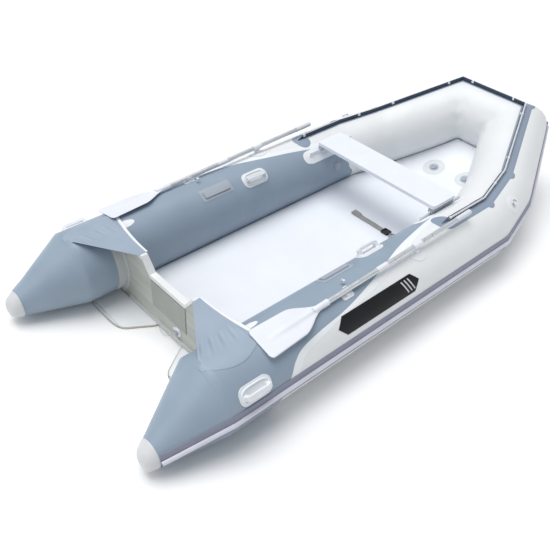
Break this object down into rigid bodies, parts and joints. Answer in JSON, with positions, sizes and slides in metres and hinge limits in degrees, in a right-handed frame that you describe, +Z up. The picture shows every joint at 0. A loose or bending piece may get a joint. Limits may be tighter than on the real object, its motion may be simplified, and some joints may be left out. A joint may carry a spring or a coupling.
{
  "type": "inflatable dinghy",
  "caption": "Inflatable dinghy with an air deck, rigid transom for an outboard motor, sliding bench seat and stowed oars that swing out on their rowlocks.",
  "frame": {"origin": "on the ground, in the middle of the hull's length and beam", "axes": "+X towards the bow, +Y to port, +Z up"},
  "size_m": [3.6884, 1.6926, 0.6693],
  "materials": {
    "tube_fabric_gray": "satin coated fabric",
    "tube_fabric_white": "satin coated fabric",
    "cone_cap": "moulded",
    "deck_fabric": "drop-stitch fabric",
    "keel_fabric": "coated fabric",
    "bottom_fabric": "coated fabric",
    "apron_fabric": "coated fabric",
    "transom_board": "painted plywood",
    "transom_cap": "extruded trim",
    "flange_rubber": "moulded",
    "motor_pad": "plate",
    "drain_plastic": "moulded",
    "lanyard_cord": "thin braided cord",
    "gusset_fabric": "coated fabric",
    "white_patch": "glued patch",
    "rail_base": "extruded rubber",
    "rail_rib": "extruded rubber",
    "ridge_strip": "coated fabric",
    "flap_fabric": "coated fabric",
    "white_rope": "braided rope",
    "eyelet_plastic": "moulded",
    "seat_board": "painted board",
    "seat_rail": "extruded track",
    "seat_hook": "extruded",
    "oar_aluminium": "anodised tube",
    "oar_grip": "moulded grip",
    "oar_plastic": "moulded",
    "rowlock_plastic": "moulded",
    "handle_plastic": "moulded",
    "holder_pad": "moulded",
    "valve_body": "moulded",
    "valve_cap": "moulded",
    "ring_steel": "stainless",
    "panel_black": "printed patch",
    "webbing": "woven webbing",
    "buckle_plastic": "moulded",
    "anchor_patch": "glued patch"
  },
  "bodies": {
    "hull": {"air_deck": "deck_fabric", "bottom_skin": "bottom_fabric", "cone_caps": "cone_cap", "drain_body": "drain_plastic", "floor_strap": "webbing", "gusset_port": "gusset_fabric", "gusset_starboard": "gusset_fabric", "handle_aft_port": "handle_plastic", "handle_aft_starboard": "handle_plastic", "handle_inner_port": "handle_plastic", "handle_inner_starboard": "handle_plastic", "holder_pads": "holder_pad", "keel_tube": "keel_fabric", "lifeline": "white_rope", "motor_pad": "motor_pad", "oar_clips": "rowlock_plastic", "plug_lanyard": "lanyard_cord", "reinforcement_patches": "white_patch", "ridge_base": "ridge_strip", "rope_eyelets": "eyelet_plastic", "rowlock_base_port": "rowlock_plastic", "rowlock_base_starboard": "rowlock_plastic", "rub_rail_base": "rail_base", "rub_rail_rib": "rail_rib", "seat_rails": "seat_rail", "side_panels": "panel_black", "spray_flap": "flap_fabric", "stern_aprons": "apron_fabric", "strap_anchor": "anchor_patch", "strap_buckle": "buckle_plastic", "transom_board": "transom_board", "transom_cap": "transom_cap", "transom_flanges": "flange_rubber", "tube_bow_port": "tube_fabric_white", "tube_bow_starboard": "tube_fabric_white", "tube_front": "tube_fabric_white", "tube_quarter_port": "tube_fabric_white", "tube_quarter_starboard": "tube_fabric_white", "tube_side_port": "tube_fabric_gray", "tube_side_starboard": "tube_fabric_gray", "valve_bodies": "valve_body"},
    "seat": {"seat_board": "seat_board", "seat_hooks": "seat_hook"},
    "oar_port": {"oar_shaft_port": "oar_aluminium", "oar_grip_port": "oar_grip", "oar_blade_port": "oar_plastic", "oar_collar_port": "oar_plastic"},
    "oar_starboard": {"oar_shaft_starboard": "oar_aluminium", "oar_grip_starboard": "oar_grip", "oar_blade_starboard": "oar_plastic", "oar_collar_starboard": "oar_plastic"},
    "ring_port": {"tow_ring_port": "ring_steel"},
    "ring_starboard": {"tow_ring_starboard": "ring_steel"},
    "cap_port": {"valve_cap_port": "valve_cap"},
    "cap_starboard": {"valve_cap_starboard": "valve_cap"},
    "cap_deck": {"valve_cap_deck": "valve_cap"},
    "cap_keel": {"valve_cap_keel": "valve_cap"},
    "plug": {"drain_plug": "drain_plastic"}
  },
  "joints": [
    {"name": "seat_slide", "type": "slide", "parent": "hull", "child": "seat", "axis": [1, 0, 0], "range_m": [-0.08, 0.08]},
    {"name": "oar_swing_port", "type": "hinge", "parent": "hull", "child": "oar_port", "pos_m": [-0.02663, 0.676, 0.4445], "axis": [0, 0, 1], "range_deg": [-100, 0]},
    {"name": "oar_swing_starboard", "type": "hinge", "parent": "hull", "child": "oar_starboard", "pos_m": [-0.02663, -0.676, 0.4445], "axis": [0, 0, 1], "range_deg": [0, 100]},
    {"name": "tow_ring_fold_port", "type": "hinge", "parent": "hull", "child": "ring_port", "pos_m": [0.88345, 0.73282, 0.38404], "axis": [0.9601, -0.2606, 0.1015], "range_deg": [-150, 0]},
    {"name": "tow_ring_fold_starboard", "type": "hinge", "parent": "hull", "child": "ring_starboard", "pos_m": [0.88345, -0.73282, 0.38404], "axis": [0.9601, 0.2606, 0.1015], "range_deg": [0, 150]},
    {"name": "valve_turn_port", "type": "hinge", "parent": "hull", "child": "cap_port", "pos_m": [0.47537, 0.40339, 0.26701], "axis": [0, -0.9703, 0.2419], "range_deg": [0, 90]},
    {"name": "valve_turn_starboard", "type": "hinge", "parent": "hull", "child": "cap_starboard", "pos_m": [0.47537, -0.40339, 0.26701], "axis": [0, 0.9703, 0.2419], "range_deg": [0, 90]},
    {"name": "valve_turn_deck", "type": "hinge", "parent": "hull", "child": "cap_deck", "pos_m": [1.14537, 0.06, 0.16771], "axis": [-0.2794, 0, 0.9602], "range_deg": [0, 90]},
    {"name": "valve_turn_keel", "type": "hinge", "parent": "hull", "child": "cap_keel", "pos_m": [1.17537, -0.19, 0.17676], "axis": [-0.2984, 0, 0.9544], "range_deg": [0, 90]},
    {"name": "drain_plug_pull", "type": "slide", "parent": "hull", "child": "plug", "axis": [-1, 0, 0], "range_m": [0, 0.03]}
  ]
}
